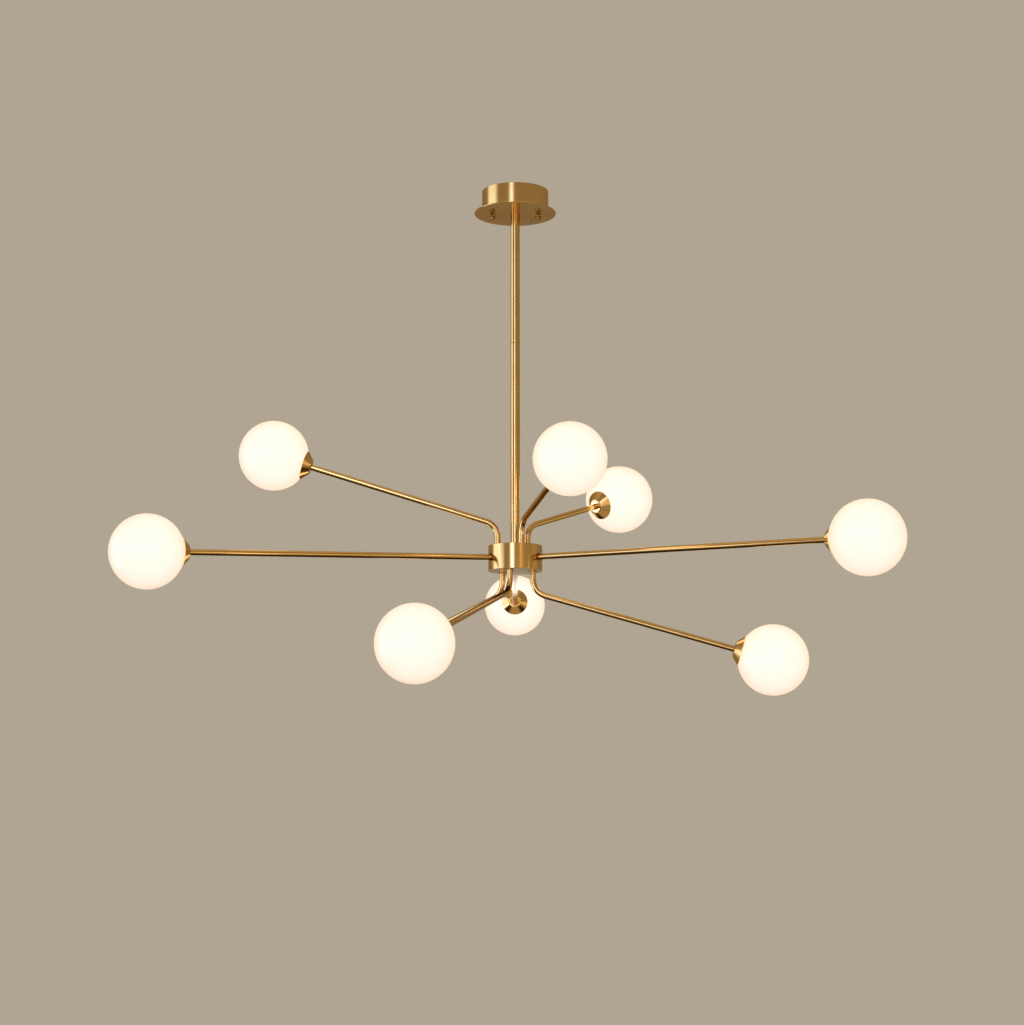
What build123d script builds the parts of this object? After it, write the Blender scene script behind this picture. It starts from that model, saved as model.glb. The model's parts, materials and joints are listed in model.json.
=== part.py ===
from build123d import *
from math import acos, asin, atan, cos, degrees, radians, sin, sqrt
import os

# A nine-light brass chandelier with opal glass globes, in millimetres and degrees.
# The origin is on the stem's axis at the ceiling. X points right, Y to the back and Z up.

# Canopy
canopy_depth = 40.0
drum_diameter = 116.0
drum_wall = 1.5
plate_diameter = 142.0
plate_thickness = 2.0
plate_edge = 0.6
earth_hole_diameter = 3.0
earth_hole_radius = 48.0
earth_hole_heading = 52.0

# Ceiling bracket, its studs and their thumb nuts
bracket_end_gap = 4.5
bracket_width = 24.0
bracket_thickness = 3.0
bracket_wire_hole = 14.0
slot_spacing = 50.0
slot_length = 16.0
slot_width = 5.0
stud_spacing = 80.0
stud_diameter = 5.0
stud_engagement = 7.0
nut_head_diameter = 11.0
nut_head_height = 4.0
nut_knob_diameter = 9.0
nut_knob_height = 6.0
nut_dome = 1.5
nut_floor = 2.0
knurl_count = 20
knurl_diameter = 0.9

# Stem
rod_diameter = 16.0
upper_rod_length = 231.5
lower_rod_length = 354.0
seam_chamfer = 0.4
nipple_diameter = 10.0
nipple_bore = 7.0
nipple_length = 28.0
nipple_show = 3.0

# Hub
hub_diameter = 92.0
hub_height = 43.0
hub_wall = 4.0
hub_roof = 4.0
hub_edge = 0.8
cover_thickness = 4.0
arm_recess_diameter = 14.0
arm_recess_depth = 2.0
spacer_diameter = 14.0
spacer_grip = 12.0
spacer_wire_hole = 5.0
cover_screw_diameter = 5.0
cover_screw_length = 16.0
cover_screw_head = 10.0
screw_slot_width = 1.2
screw_slot_depth = 1.0

# Arms and the nuts on their ends
arm_diameter = 10.0
arm_bore = 8.0
stub_circle_radius = 30.0
stub_rise = 36.5
bend_radius = 30.0
side_reach = 640.0
upper_left_reach = 415.0
upper_front_reach = 255.0
upper_back_reach = 270.0
lower_front_reach = 482.0
lower_right_reach = 434.0
lower_back_reach = 250.0
upper_arm_angle = 17.5
lower_arm_angle = -16.0
locknut_flats = 14.0
locknut_thickness = 4.0
thread_show = 1.0

# Globes and the cups that carry them
globe_diameter = 120.0
glass_wall = 3.0
neck_diameter = 30.0
neck_bore = 25.0
neck_stand = 0.3
cup_rim_diameter = 50.4
cup_tip_diameter = 24.0
cup_stand = 8.0
cup_wall = 1.5
cup_floor = 3.5
cup_rim_land = 0.8

# Lampholders, gaskets and bulbs
gasket_thickness = 1.4
flange_thickness = 1.2
flange_diameter = 29.6
holder_base_diameter = 24.0
holder_length = 26.0
arm_grip = 5.0
bulb_diameter = 17.0
bulb_length = 46.0
bulb_base_diameter = 14.0
bulb_base_height = 8.0
pin_diameter = 1.6
pin_spacing = 9.0
pin_length = 6.0

# Clearances
thread_gap = 0.05
slip_gap = 0.1
screw_thread_gap = 0.3
glass_gap = 0.3
pin_gap = 0.05
pin_depth_gap = 0.5

# Levels along the stem
plate_underside = -canopy_depth
plate_top = plate_underside + plate_thickness
rod_seam = plate_underside - upper_rod_length
hub_top = rod_seam - lower_rod_length
hub_middle = hub_top - hub_height / 2
hub_bottom = hub_top - hub_height
roof_underside = hub_top - hub_roof
cover_top = hub_bottom + cover_thickness

# Radii and distances shared by more than one piece
bracket_length = drum_diameter - 2 * (drum_wall + bracket_end_gap)
hub_radius = hub_diameter / 2
hub_inner_radius = hub_radius - hub_wall
nipple_hole_radius = nipple_diameter / 2 + thread_gap
arm_radius = arm_diameter / 2
arm_hole_radius = arm_radius + slip_gap
arm_thread_radius = arm_radius + thread_gap
locknut_corner_radius = locknut_flats / sqrt(3)
globe_radius = globe_diameter / 2
neck_end = globe_radius + neck_stand
gasket_end = neck_end + gasket_thickness
flange_end = gasket_end + flange_thickness
cup_tip = globe_radius + cup_stand
cup_floor_level = cup_tip - cup_floor
arm_end = cup_floor_level - arm_grip
holder_face = cup_floor_level - holder_length
sleeve_radius = neck_bore / 2 - screw_thread_gap


class Light:
    """One light: its arm's tier, heading, reach and slope, and the frame at its globe's centre.

    tier is 1 for an arm out of the hub's top, 0 out of its side and -1 out of its underside.
    heading is 0 to the right and 90 to the back, and reach is level, from the stem to the globe's centre.
    """

    def __init__(self, name, tier, heading, reach, slope):
        turn = radians(heading)
        climb = radians(slope)
        self.name = name
        self.tier = tier
        self.level = Vector(cos(turn), sin(turn), 0)
        self.across = Vector(-sin(turn), cos(turn), 0)
        self.along = self.level * cos(climb) + Vector(0, 0, sin(climb))
        start_radius = stub_circle_radius if tier else hub_radius
        start_height = hub_middle + tier * (hub_height / 2 + stub_rise)
        self.corner = self.level * start_radius + Vector(0, 0, start_height)
        self.centre = self.corner + self.along * ((reach - start_radius) / cos(climb))
        self.axis = Axis(self.centre, self.along)
        self.profile = Plane(self.centre, x_dir=self.across, z_dir=self.across.cross(self.along))

    def station(self, distance):
        """Plane square to the arm, this far from the globe's centre towards the hub."""
        return Plane(self.centre - self.along * distance, x_dir=self.across, z_dir=self.along)

    def port(self):
        """Plane on the hub where the arm leaves it, facing outwards."""
        if self.tier == 0:
            return Plane(self.corner, x_dir=self.across, z_dir=self.along)
        face = self.corner - Vector(0, 0, self.tier * stub_rise)
        return Plane(face, x_dir=self.across, z_dir=Vector(0, 0, self.tier))

    def nut_depth(self):
        """How far behind the port the arm's locknut begins, inside the hub."""
        if self.tier == 0:
            return hub_radius - sqrt(hub_inner_radius**2 - locknut_corner_radius**2)
        return hub_roof if self.tier > 0 else cover_thickness

    def foot(self):
        """Inner end of the arm, just past its locknut."""
        port = self.port()
        return port.origin - port.z_dir * (self.nut_depth() + locknut_thickness + thread_show)


lights = [
    Light("left", 0, 205.0, side_reach, -2.4),
    Light("right", 0, 328.0, side_reach, -1.2),
    Light("back", 0, 90.0, side_reach, -0.8),
    Light("upper_left", 1, 179.0, upper_left_reach, upper_arm_angle),
    Light("upper_front", 1, 290.0, upper_front_reach, upper_arm_angle),
    Light("upper_back", 1, 46.0, upper_back_reach, upper_arm_angle),
    Light("lower_front", -1, 252.0, lower_front_reach, lower_arm_angle),
    Light("lower_right", -1, 358.0, lower_right_reach, lower_arm_angle),
    Light("lower_back", -1, 136.0, lower_back_reach, lower_arm_angle),
]
covered_ports = [light.port() for light in lights if light.tier < 0]
body_ports = [light.port() for light in lights if light.tier >= 0]

stud_places = [Vector(side * stud_spacing / 2, 0, 0) for side in (-1, 1)]


def turned(light, *points):
    """Add a solid turned about a light's axis, from a closed outline.

    Each point is (radius, distance from the globe's centre towards the hub).
    """
    with BuildSketch(light.profile) as outline:
        with BuildLine():
            Polyline(*[(radius, -distance) for radius, distance in points], close=True)
        make_face()
    revolve(outline.sketch, axis=light.axis)


os.makedirs("parts", exist_ok=True)

# Ceiling bracket: a steel strap with round ends, two slots for the ceiling box and a hole for the wires
with BuildPart() as ceiling_bracket:
    with BuildSketch():
        SlotOverall(bracket_length, bracket_width)
        Circle(bracket_wire_hole / 2, mode=Mode.SUBTRACT)
        with GridLocations(slot_spacing, 0, 2, 1):
            SlotOverall(slot_length, slot_width, mode=Mode.SUBTRACT)
        with GridLocations(stud_spacing, 0, 2, 1):
            Circle(stud_diameter / 2 + thread_gap, mode=Mode.SUBTRACT)
    extrude(amount=-bracket_thickness)
ceiling_bracket.part.label = "ceiling_bracket"
export_step(ceiling_bracket.part, "parts/ceiling_bracket.step")

# Studs: from the bracket down through the plate into the thumb nuts
with BuildPart() as canopy_studs:
    with BuildSketch():
        with Locations(*stud_places):
            Circle(stud_diameter / 2)
    extrude(amount=-(canopy_depth + stud_engagement))
canopy_studs.part.label = "canopy_studs"
export_step(canopy_studs.part, "parts/canopy_studs.step")

# Canopy drum: a ring between the ceiling and the plate
with BuildPart() as canopy_drum:
    with BuildSketch(Plane.XY.offset(plate_top)):
        Circle(drum_diameter / 2)
        Circle(drum_diameter / 2 - drum_wall, mode=Mode.SUBTRACT)
    extrude(amount=canopy_depth - plate_thickness)
canopy_drum.part.label = "canopy_drum"
export_step(canopy_drum.part, "parts/canopy_drum.step")

# Canopy plate: a disc with a rounded edge, holes for the nipple and studs, and an earth screw's hole
with BuildPart() as canopy_plate:
    with BuildSketch(Plane.XY.offset(plate_underside)):
        Circle(plate_diameter / 2)
        Circle(nipple_hole_radius, mode=Mode.SUBTRACT)
        with Locations(*stud_places):
            Circle(stud_diameter / 2 + slip_gap, mode=Mode.SUBTRACT)
        with PolarLocations(earth_hole_radius, 1, start_angle=earth_hole_heading):
            Circle(earth_hole_diameter / 2, mode=Mode.SUBTRACT)
    extrude(amount=plate_thickness)
    fillet(canopy_plate.edges().filter_by(GeomType.CIRCLE).sort_by(SortBy.RADIUS)[-2:], plate_edge)
canopy_plate.part.label = "canopy_plate"
export_step(canopy_plate.part, "parts/canopy_plate.step")

# Thumb nuts: a knurled head against the plate, a plain knob below it and a blind threaded hole
for side, place in zip(("left", "right"), stud_places):
    nut_seat = Plane(place + Vector(0, 0, plate_underside), z_dir=(0, 0, -1))
    with BuildPart() as thumb_nut:
        with BuildSketch(nut_seat):
            Circle(nut_head_diameter / 2)
            with PolarLocations(nut_head_diameter / 2, knurl_count):
                Circle(knurl_diameter / 2, mode=Mode.SUBTRACT)
        extrude(amount=nut_head_height)
        with BuildSketch(nut_seat.offset(nut_head_height)):
            Circle(nut_knob_diameter / 2)
        extrude(amount=nut_knob_height)
        fillet(thumb_nut.faces().sort_by(Axis.Z)[0].edges(), nut_dome)
        with BuildSketch(nut_seat):
            Circle(stud_diameter / 2 + thread_gap)
        extrude(amount=nut_head_height + nut_knob_height - nut_floor, mode=Mode.SUBTRACT)
    thumb_nut.part.label = f"thumb_nut_{side}"
    export_step(thumb_nut.part, f"parts/thumb_nut_{side}.step")

# Stem nipples: one holds the upper rod to the plate, one joins the rods, one goes into the hub
nipple_tops = (
    plate_top + locknut_thickness + nipple_show,
    rod_seam + nipple_length / 2,
    roof_underside - spacer_grip + nipple_length,
)
with BuildPart() as stem_nipples:
    with BuildSketch(*[Plane.XY.offset(top) for top in nipple_tops]):
        Circle(nipple_diameter / 2)
        Circle(nipple_bore / 2, mode=Mode.SUBTRACT)
    extrude(amount=-nipple_length)
stem_nipples.part.label = "stem_nipples"
export_step(stem_nipples.part, "parts/stem_nipples.step")

# Upper rod: a plain thick tube from the plate to the seam
with BuildPart() as downrod_upper:
    with BuildSketch(Plane.XY.offset(rod_seam)):
        Circle(rod_diameter / 2)
    extrude(amount=upper_rod_length)
    chamfer(downrod_upper.faces().sort_by(Axis.Z)[0].edges(), seam_chamfer)
    with BuildSketch(Plane.XY.offset(rod_seam)):
        Circle(nipple_hole_radius)
    extrude(amount=upper_rod_length, mode=Mode.SUBTRACT)
downrod_upper.part.label = "downrod_upper"
export_step(downrod_upper.part, "parts/downrod_upper.step")

# Lower rod: a plain thick tube from the seam to the hub
with BuildPart() as downrod_lower:
    with BuildSketch(Plane.XY.offset(hub_top)):
        Circle(rod_diameter / 2)
    extrude(amount=lower_rod_length)
    chamfer(downrod_lower.faces().sort_by(Axis.Z)[-1].edges(), seam_chamfer)
    with BuildSketch(Plane.XY.offset(hub_top)):
        Circle(nipple_hole_radius)
    extrude(amount=lower_rod_length, mode=Mode.SUBTRACT)
downrod_lower.part.label = "downrod_lower"
export_step(downrod_lower.part, "parts/downrod_lower.step")

# Hub body: a cup turned upside down, with a recessed hole for each arm of the side and the top
with BuildPart() as hub_body:
    with BuildSketch(Plane.XY.offset(hub_bottom)):
        Circle(hub_radius)
    extrude(amount=hub_height)
    fillet(hub_body.edges().filter_by(GeomType.CIRCLE), hub_edge)
    with BuildSketch(Plane.XY.offset(hub_bottom)):
        Circle(hub_inner_radius)
    extrude(amount=hub_height - hub_roof, mode=Mode.SUBTRACT)
    with Locations((0, 0, hub_top)):
        Hole(nipple_hole_radius, depth=hub_roof)
    with Locations(*body_ports):
        CounterBoreHole(arm_hole_radius, arm_recess_diameter / 2, arm_recess_depth, hub_roof + hub_wall)
hub_body.part.label = "hub_body"
export_step(hub_body.part, "parts/hub_body.step")

# Hub cover: a disc inside the hub's wall, with a recessed hole for each lower arm and a screw's seat
with BuildPart() as hub_cover:
    with BuildSketch(Plane.XY.offset(hub_bottom)):
        Circle(hub_inner_radius - slip_gap)
    extrude(amount=cover_thickness)
    with Locations(*covered_ports):
        CounterBoreHole(arm_hole_radius, arm_recess_diameter / 2, arm_recess_depth, cover_thickness)
    with Locations(Plane((0, 0, hub_bottom), z_dir=(0, 0, -1))):
        CounterSinkHole(
            cover_screw_diameter / 2 + slip_gap, cover_screw_head / 2 + slip_gap, cover_thickness
        )
hub_cover.part.label = "hub_cover"
export_step(hub_cover.part, "parts/hub_cover.step")

# Cover screw: a flush head in the cover's seat and a shank into the spacer
with BuildPart() as hub_cover_screw:
    with BuildSketch(Plane.XZ):
        with BuildLine():
            head_height = (cover_screw_head - cover_screw_diameter) / 2
            Polyline(
                (0, hub_bottom),
                (cover_screw_head / 2, hub_bottom),
                (cover_screw_diameter / 2, hub_bottom + head_height),
                (cover_screw_diameter / 2, hub_bottom + cover_screw_length),
                (0, hub_bottom + cover_screw_length),
                close=True,
            )
        make_face()
    revolve(axis=Axis.Z)
    with BuildSketch(Plane.XY.offset(hub_bottom)):
        Rectangle(cover_screw_head, screw_slot_width)
    extrude(amount=screw_slot_depth, mode=Mode.SUBTRACT)
hub_cover_screw.part.label = "hub_cover_screw"
export_step(hub_cover_screw.part, "parts/hub_cover_screw.step")

# Hub spacer: a post from the roof to the cover, screwed on the nipple, with a hole that lets the wires out
spacer_bore_depth = spacer_grip + spacer_wire_hole
with BuildPart() as hub_spacer:
    with BuildSketch(Plane.XY.offset(cover_top)):
        Circle(spacer_diameter / 2)
    extrude(amount=roof_underside - cover_top)
    with Locations((0, 0, roof_underside)):
        Hole(nipple_hole_radius, depth=spacer_bore_depth)
    with BuildSketch(Plane.XZ):
        with Locations((0, roof_underside - spacer_grip - spacer_wire_hole / 2)):
            Circle(spacer_wire_hole / 2)
    extrude(amount=spacer_diameter, both=True, mode=Mode.SUBTRACT)
    with Locations(Plane((0, 0, cover_top), z_dir=(0, 0, -1))):
        Hole(cover_screw_diameter / 2 + thread_gap, depth=cover_screw_length - cover_thickness + slip_gap)
hub_spacer.part.label = "hub_spacer"
export_step(hub_spacer.part, "parts/hub_spacer.step")

# Locknuts: one on the top nipple above the plate and one on each arm's end inside the hub
nut_planes = [Plane((0, 0, plate_top))]
for light in lights:
    port = light.port()
    nut_planes.append(Plane(port.origin - port.z_dir * light.nut_depth(), port.x_dir, -port.z_dir))
with BuildPart() as locknuts:
    with BuildSketch(*nut_planes):
        RegularPolygon(locknut_flats / 2, 6, major_radius=False)
        Circle(arm_thread_radius, mode=Mode.SUBTRACT)
    extrude(amount=locknut_thickness)
locknuts.part.label = "locknuts"
export_step(locknuts.part, "parts/locknuts.step")

# Lampholders: base on the cup's floor, flange for the gasket, threaded sleeve for the glass, two pin holes
with BuildPart() as lampholders:
    for light in lights:
        turned(
            light,
            (arm_thread_radius, cup_floor_level),
            (holder_base_diameter / 2, cup_floor_level),
            (holder_base_diameter / 2, flange_end),
            (flange_diameter / 2, flange_end),
            (flange_diameter / 2, gasket_end),
            (sleeve_radius, gasket_end),
            (sleeve_radius, holder_face),
            (0, holder_face),
            (0, arm_end),
            (arm_thread_radius, arm_end),
        )
    with BuildSketch(*[light.station(holder_face) for light in lights]):
        with GridLocations(pin_spacing, 0, 2, 1):
            Circle(pin_diameter / 2 + pin_gap)
    extrude(amount=-(pin_length + pin_depth_gap), mode=Mode.SUBTRACT)
lampholders.part.label = "lampholders"
export_step(lampholders.part, "parts/lampholders.step")

# The cup's cone: its rim lies just off the glass, and its inside is the outside moved in by the wall
seat_radius = globe_radius + glass_gap
cup_rim_radius = cup_rim_diameter / 2
cup_tip_radius = cup_tip_diameter / 2
rim_level = sqrt(seat_radius**2 - cup_rim_radius**2)
cone_start = rim_level + cup_rim_land
cone_spread = (cup_rim_radius - cup_tip_radius) / (cup_tip - cone_start)
cone_shift = cup_wall * sqrt(1 + cone_spread**2) / cone_spread


def cup_inside(level):
    """Radius of the cup's inner cone at a distance from the globe's centre."""
    return cup_rim_radius - cone_spread * (level + cone_shift - cone_start)


# The lip follows the glass from the rim in to the inner cone: its ends as angles at the globe's centre
cone_distance = cup_inside(0) / sqrt(1 + cone_spread**2)
rim_turn = degrees(acos(cup_rim_radius / seat_radius))
lip_turn = degrees(atan(cone_spread) + acos(cone_distance / seat_radius))


# The glass profile is two arcs that end at the neck
neck_radius = neck_diameter / 2
neck_bore_radius = neck_bore / 2
inner_radius = globe_radius - glass_wall
outer_sweep = 180 - degrees(asin(neck_radius / globe_radius))
inner_sweep = 180 - degrees(asin(neck_bore_radius / inner_radius))

for light in lights:
    # Arm: a brass tube from its locknut to its lampholder, bent once if it leaves the top or underside
    with BuildPart() as arm:
        with BuildLine() as run:
            tip = light.station(arm_end).origin
            if light.tier:
                FilletPolyline(light.foot(), light.corner, tip, radius=bend_radius)
            else:
                Line(light.foot(), tip)
        with BuildSketch(Plane(run.line @ 0, z_dir=run.line % 0)):
            Circle(arm_radius)
            Circle(arm_bore / 2, mode=Mode.SUBTRACT)
        sweep(path=run.line)
    arm.part.label = f"arm_{light.name}"
    export_step(arm.part, f"parts/arm_{light.name}.step")

    # Cup: a cone shell from the arm to the globe
    with BuildPart() as cup:
        with BuildSketch(light.profile):
            with BuildLine():
                lip = CenterArc((0, 0), seat_radius, -rim_turn, rim_turn - lip_turn)
                Polyline(
                    lip @ 1,
                    (cup_inside(cup_floor_level), -cup_floor_level),
                    (arm_hole_radius, -cup_floor_level),
                    (arm_hole_radius, -cup_tip),
                    (cup_tip_radius, -cup_tip),
                    (cup_rim_radius, -cone_start),
                    lip @ 0,
                )
            make_face()
        revolve(axis=light.axis)
    cup.part.label = f"cup_{light.name}"
    export_step(cup.part, f"parts/cup_{light.name}.step")

    # Gasket: a silicone ring between the glass neck and the lampholder's flange
    with BuildPart() as gasket:
        turned(
            light,
            (neck_bore_radius, neck_end),
            (neck_radius, neck_end),
            (neck_radius, gasket_end),
            (neck_bore_radius, gasket_end),
        )
    gasket.part.label = f"gasket_{light.name}"
    export_step(gasket.part, f"parts/gasket_{light.name}.step")

    # Bulb: a capsule with a domed end on a narrower base, and two pins
    with BuildPart() as bulb:
        with BuildSketch(light.profile):
            with BuildLine():
                bulb_radius = bulb_diameter / 2
                dome_centre = bulb_length - holder_face - bulb_radius
                Polyline(
                    (0, dome_centre + bulb_radius),
                    (0, -holder_face),
                    (bulb_base_diameter / 2, -holder_face),
                    (bulb_base_diameter / 2, bulb_base_height - holder_face),
                    (bulb_radius, bulb_base_height - holder_face),
                    (bulb_radius, dome_centre),
                )
                CenterArc((0, dome_centre), bulb_radius, 0, 90)
            make_face()
        revolve(axis=light.axis)
        with BuildSketch(light.station(holder_face)):
            with GridLocations(pin_spacing, 0, 2, 1):
                Circle(pin_diameter / 2)
        extrude(amount=-pin_length)
    bulb.part.label = f"bulb_{light.name}"
    export_step(bulb.part, f"parts/bulb_{light.name}.step")

    # Globe: an opal glass sphere with a short threaded neck
    with BuildPart() as globe:
        with BuildSketch(light.profile):
            with BuildLine():
                outside = CenterArc((0, 0), globe_radius, 90, -outer_sweep)
                inside = CenterArc((0, 0), inner_radius, 90, -inner_sweep)
                Polyline(
                    outside @ 1,
                    (neck_radius, -neck_end),
                    (neck_bore_radius, -neck_end),
                    inside @ 1,
                )
                Line(outside @ 0, inside @ 0)
            make_face()
        revolve(axis=light.axis)
    globe.part.label = f"globe_{light.name}"
    export_step(globe.part, f"parts/globe_{light.name}.step")
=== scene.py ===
import json
import math

import bmesh
import bpy
from mathutils import Matrix, Vector

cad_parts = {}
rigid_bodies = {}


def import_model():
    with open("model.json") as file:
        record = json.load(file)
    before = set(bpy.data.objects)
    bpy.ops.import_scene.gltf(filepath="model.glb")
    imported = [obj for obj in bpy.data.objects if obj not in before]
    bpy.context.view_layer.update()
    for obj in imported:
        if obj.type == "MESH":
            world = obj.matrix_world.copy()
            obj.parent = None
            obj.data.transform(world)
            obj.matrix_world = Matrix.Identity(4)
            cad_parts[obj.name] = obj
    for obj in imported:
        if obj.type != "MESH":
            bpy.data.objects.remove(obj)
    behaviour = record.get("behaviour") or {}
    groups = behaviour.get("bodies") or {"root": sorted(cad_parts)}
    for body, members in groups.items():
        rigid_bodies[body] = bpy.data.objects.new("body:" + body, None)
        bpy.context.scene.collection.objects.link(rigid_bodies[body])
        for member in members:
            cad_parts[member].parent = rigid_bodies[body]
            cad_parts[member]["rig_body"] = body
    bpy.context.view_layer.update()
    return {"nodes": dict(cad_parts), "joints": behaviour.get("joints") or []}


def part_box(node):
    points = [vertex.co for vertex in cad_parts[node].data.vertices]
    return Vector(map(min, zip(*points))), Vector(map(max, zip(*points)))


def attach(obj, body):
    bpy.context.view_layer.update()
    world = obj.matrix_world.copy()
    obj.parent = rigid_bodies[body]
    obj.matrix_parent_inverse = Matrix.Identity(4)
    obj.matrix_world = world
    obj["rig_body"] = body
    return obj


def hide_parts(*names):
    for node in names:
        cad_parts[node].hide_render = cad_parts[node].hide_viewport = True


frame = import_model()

bl_info = {
    "name": "Brass globe chandelier",
    "version": (1, 0, 0),
    "blender": (4, 5, 0),
    "location": "3D View > Sidebar > Chandelier",
    "description": "Turned brass, bent tube arms and lit opal globes around the packed chandelier",
    "category": "Object",
}

MM = 0.001
POLE = 1e-6  # stands for a radius of nothing where an outline meets its axis
MERGE = 1e-5  # vertices nearer than this are one
SMOOTH_ANGLE = math.radians(35)
LEVEL_SLOPE = math.radians(8)  # an arm flatter than this leaves the hub's side
GRAIN = "lathe"  # attribute: where a point lay on its piece before the piece was put in place

# Sides of what is turned, and steps in a rounded edge
WIDE_SIDES = 128
CUP_SIDES = 96
ROD_SIDES = 64
HOLE_SIDES = 64
SCREW_SIDES = 48
TUBE_SIDES = 40
EDGE_STEPS = 3

# Noise lies between these values, apart from a few peaks
NOISE_LOW = 0.3
NOISE_HIGH = 0.7


def linear(code):
    """An sRGB hex colour as linear red, green and blue."""
    parts = [int(code[i : i + 2], 16) / 255 for i in (1, 3, 5)]
    return [c / 12.92 if c <= 0.04045 else ((c + 0.055) / 1.055) ** 2.4 for c in parts]


def size(name, description, millimetres):
    """A length, kept in metres."""
    return bpy.props.FloatProperty(
        name=name,
        description=description,
        default=millimetres * MM,
        min=0,
        unit="LENGTH",
        precision=4,
    )


def colour(name, description, code):
    """A colour, kept as linear red, green and blue."""
    return bpy.props.FloatVectorProperty(
        name=name, description=description, default=linear(code), min=0, max=1, subtype="COLOR"
    )


class ChandelierSizes(bpy.types.PropertyGroup):
    """Sizes of the turned and bent pieces."""

    edge: size("Edge rounding", "Rounding on the edges of turned brass", 0.5)
    drum_wall: size("Drum wall", "Wall of the canopy's drum", 1.5)
    plate_edge: size("Plate edge", "Rounding of the canopy plate's rim", 0.8)
    stud_hole: size("Stud hole", "Diameter of the plate's two stud holes", 5.2)
    stud_spacing: size("Stud spacing", "Distance between the canopy's two studs", 80)
    earth_hole: size("Earth hole", "Diameter of the small hole in the canopy plate", 3)
    earth_reach: size("Earth hole reach", "Distance of the small hole from the stem", 48)
    nut_bore: size("Nut bore", "Diameter of the thumb nut's thread", 5.1)
    nut_head: size("Nut head", "Height of the thumb nut's knurled head", 4)
    nut_knob: size("Nut knob", "Diameter of the thumb nut's plain knob", 9)
    nut_dome: size("Nut dome", "Rounding at the thumb nut's lower end", 1.5)
    nut_floor: size("Nut floor", "Brass left below the thumb nut's bore", 2)
    knurl_depth: size("Knurl depth", "Depth of the grooves in the thumb nut's head", 0.4)
    rod_diameter: size("Rod", "Diameter of the stem's rods", 16)
    rod_bore: size("Rod bore", "Bore of the rods, the plate and the hub's roof", 10.1)
    seam: size("Seam", "Chamfer on each side of the seam between the rods", 0.5)
    hub_wall: size("Hub wall", "Wall, roof and cover of the hub", 4)
    recess_diameter: size("Recess", "Diameter of the recess around an arm on the hub", 14)
    recess_depth: size("Recess depth", "Depth of the recess around an arm on the hub", 2)
    stub_reach: size("Stub reach", "Distance of the bent arms' stubs from the stem", 30)
    stub_rise: size("Stub rise", "Height from the hub to the corner of a bent arm", 36.5)
    bend_radius: size("Bend", "Radius of the bend in an arm, at its middle line", 30)
    arm_diameter: size("Arm", "Diameter of the arms' tube", 10)
    arm_hole: size("Arm hole", "Diameter of the holes that the arms pass through", 10.2)
    arm_inside: size("Arm inside", "Length of arm inside the hub", 9.5)
    arm_end: size("Arm end", "Distance from a globe's centre to the end of its arm", 59.5)
    cup_rim: size("Cup rim", "Diameter of a cup's rim", 50.4)
    cup_tip: size("Cup tip", "Diameter of a cup's flat end", 24)
    cup_back: size("Cup back", "Distance from a globe's centre to its cup's flat end", 68)
    cup_floor: size("Cup floor", "Thickness of a cup's flat end", 3.5)
    cup_wall: size("Cup wall", "Wall of a cup", 1.5)
    cup_shoulder: size("Cup shoulder", "Rounding between a cup's flat end and its cone", 6)
    cup_land: size("Cup land", "Straight edge at a cup's rim", 0.8)
    glass_gap: size("Glass gap", "Space between a cup's rim and the glass", 0.3)
    globe_diameter: size("Globe", "Diameter of the glass globes", 120)
    glass_wall: size("Glass wall", "Thickness of the glass", 3)
    neck_diameter: size("Neck", "Diameter of a globe's neck", 30)
    neck_bore: size("Neck bore", "Bore of a globe's neck", 25)
    neck_end: size("Neck end", "Distance from a globe's centre to the end of its neck", 60.3)
    screw_head: size("Screw head", "Diameter of the screw in the hub's cover", 10)
    screw_slot: size("Screw slot", "Width of the slot in that screw", 1.2)


class ChandelierColours(bpy.types.PropertyGroup):
    """Colours of the finishes and of the stage."""

    brass: colour("Brass", "Satin brass in plain light", "#cba05c")
    brass_deep: colour("Deep brass", "Brass where the lacquer has warmed it", "#bd8b42")
    brass_edge: colour("Brass edge", "What brass throws back at a glancing angle", "#d2c9bf")
    brass_bare: colour("Bare brass", "Brass without lacquer, on the thumb nuts", "#a98a52")
    brass_worn: colour("Worn brass", "Bare brass that hands have darkened", "#6e4a22")
    opal: colour("Opal glass", "The glass's own colour", "#c9c2b7")
    opal_dense: colour("Dense opal", "The glass where its opal layer is thicker", "#bdb3a2")
    glow: colour("Glow", "The lamp's light before the glass's skin warms it", "#fffdfb")
    skin_tint: colour("Skin tint", "What the glass's skin lets through, straight on", "#f8ede2")
    zinc: colour("Zinc", "Zinc plate on steel", "#b9bcbe")
    zinc_dull: colour("Dull zinc", "Zinc plate where it has dulled", "#8f9498")
    ceramic: colour("Ceramic", "Glazed lampholder", "#efece4")
    silicone: colour("Silicone", "Gasket", "#e2ded4")
    bulb: colour("Bulb", "Frosted bulb", "#fbf3e4")
    backdrop: colour("Backdrop", "Plain backdrop around the object", "#b0a592")
    floor: colour("Floor", "Plain pale floor", "#d9cfbf")
    card: colour("Card", "Dark card that the tubes mirror", "#735a3e")
    day: colour("Day", "Lamps that stand for a window's light", "#aec8ff")
    evening: colour("Evening", "Lamps that stand for a warm room", "#fff1d8")
    amber: colour("Amber", "Lamp that stands for a lamp-lit wall", "#ffc987")
    plain: colour("Plain", "Lamp and room, for what is dull", "#ffffff")


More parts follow.
